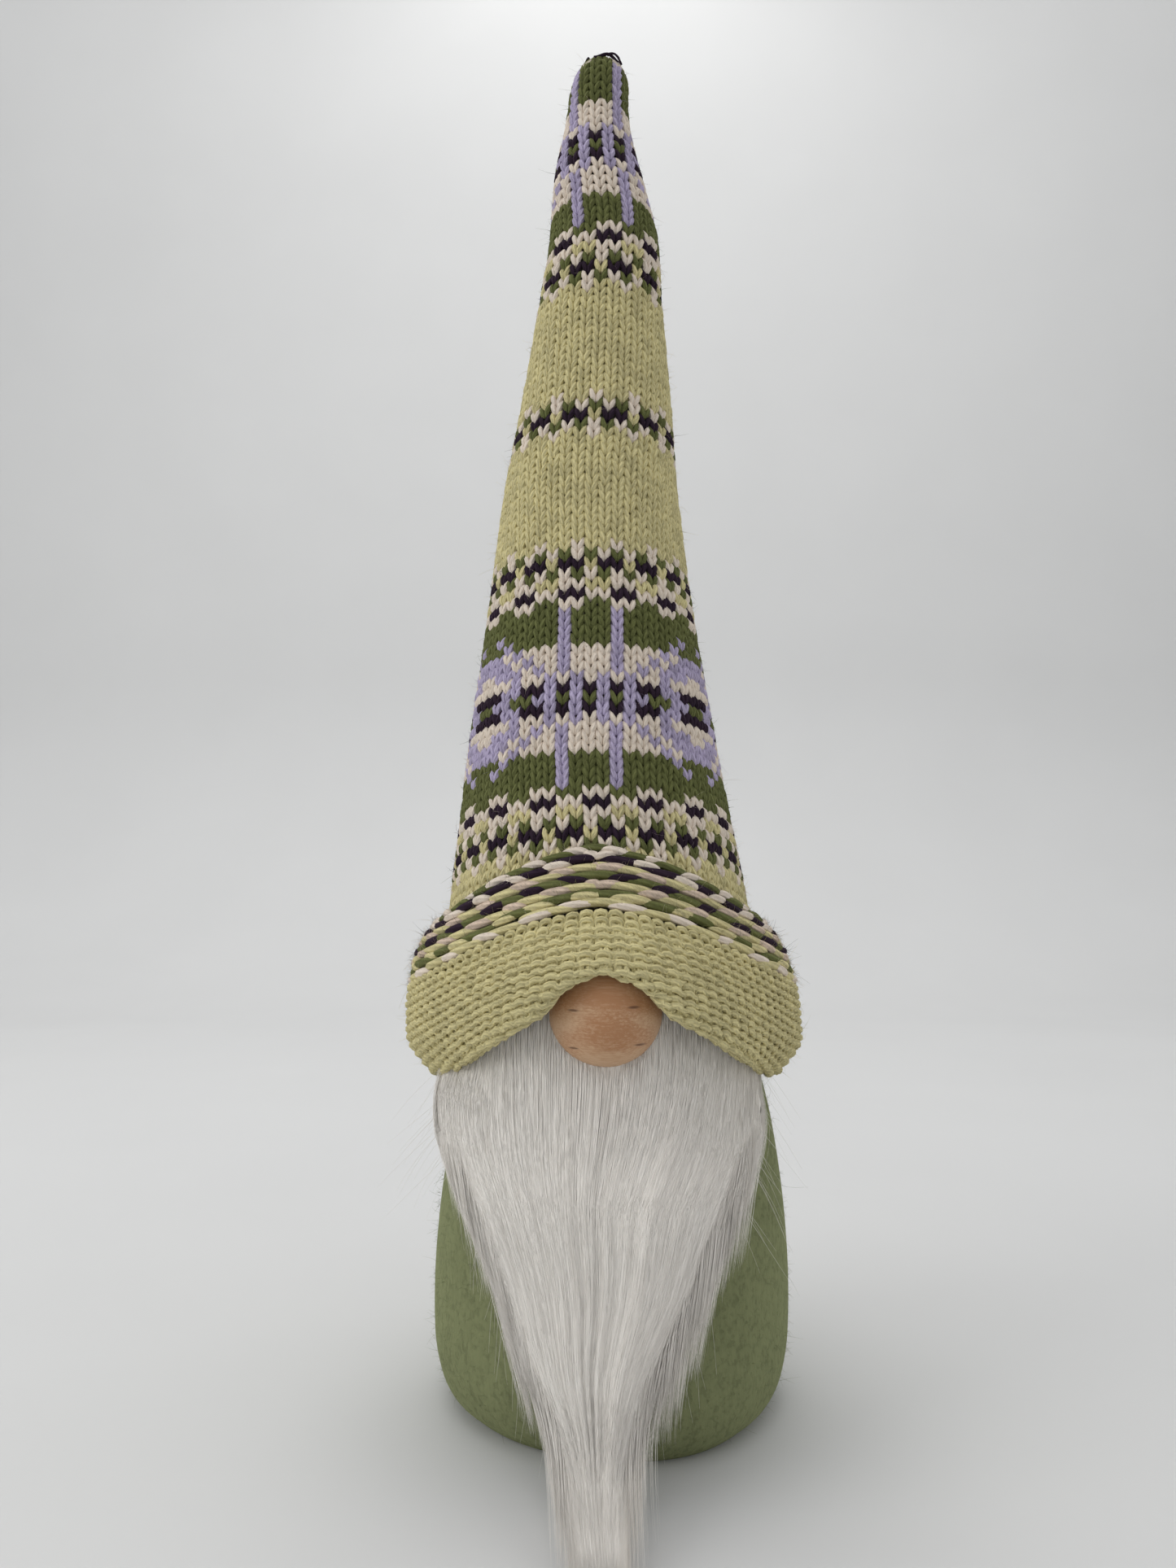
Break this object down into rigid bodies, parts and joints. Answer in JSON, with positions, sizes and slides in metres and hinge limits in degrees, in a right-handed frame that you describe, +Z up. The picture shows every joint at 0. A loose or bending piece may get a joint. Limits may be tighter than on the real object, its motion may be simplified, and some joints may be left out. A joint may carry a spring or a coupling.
{
  "type": "tomte gnome figurine",
  "caption": "Free-standing soft gnome figure: weighted felt body, long pile beard, round wooden nose and a tall knitted cone hat with a turned-up cuff that lifts off.",
  "frame": {"origin": "middle of the base disc's underside, on the surface the gnome stands on", "axes": "+Z up along the tall hat, -Y the way the gnome looks (nose and beard), +X to the right in a front view"},
  "size_m": [0.1308, 0.1779, 0.453],
  "materials": {
    "felt": "fuzzy wool felt",
    "card": "plain grey-brown board",
    "sewing_thread": "matt sewing thread",
    "muslin": "plain woven cotton",
    "pellets": "loose pellets",
    "twine": "twisted jute twine",
    "fibrefill": "loose polyester fibre",
    "glue": "cloudy hot-melt glue",
    "fur_backing": "knitted pile backing",
    "beard_pile": "long silky pile",
    "maple": "smooth turned wood, thin clear finish",
    "knit_wool": "stranded wool knitting in five colours",
    "plum_yarn": "fuzzy wool yarn"
  },
  "bodies": {
    "body": {"base_disc": "felt", "base_stiffener": "card", "base_seam_thread": "sewing_thread", "ballast_pouch": "muslin", "ballast_fill": "pellets", "pouch_tie": "twine", "body_stuffing": "fibrefill", "body_sack": "felt", "back_seam_thread": "sewing_thread", "neck_tie": "twine", "beard_glue_strip": "glue", "beard_root_backing": "fur_backing", "beard_root_pile": "beard_pile", "nose_bead": "maple", "nose_glue_dab": "glue"},
    "beard": {"beard_flap_backing": "fur_backing", "beard_flap_pile": "beard_pile"},
    "hat": {"hat_knit_cone": "knit_wool", "hat_cuff": "knit_wool", "hat_stuffing": "fibrefill", "hat_seam_thread": "sewing_thread", "tip_gather_yarn": "plum_yarn"}
  },
  "joints": [
    {"name": "beard_swing", "type": "hinge", "parent": "body", "child": "beard", "pos_m": [0, -0.058, 0.098], "axis": [-1, 0, 0], "range_deg": [0, 50]},
    {"name": "hat_lift", "type": "slide", "parent": "body", "child": "hat", "axis": [0, 0, 1], "range_m": [0, 0.12]}
  ]
}
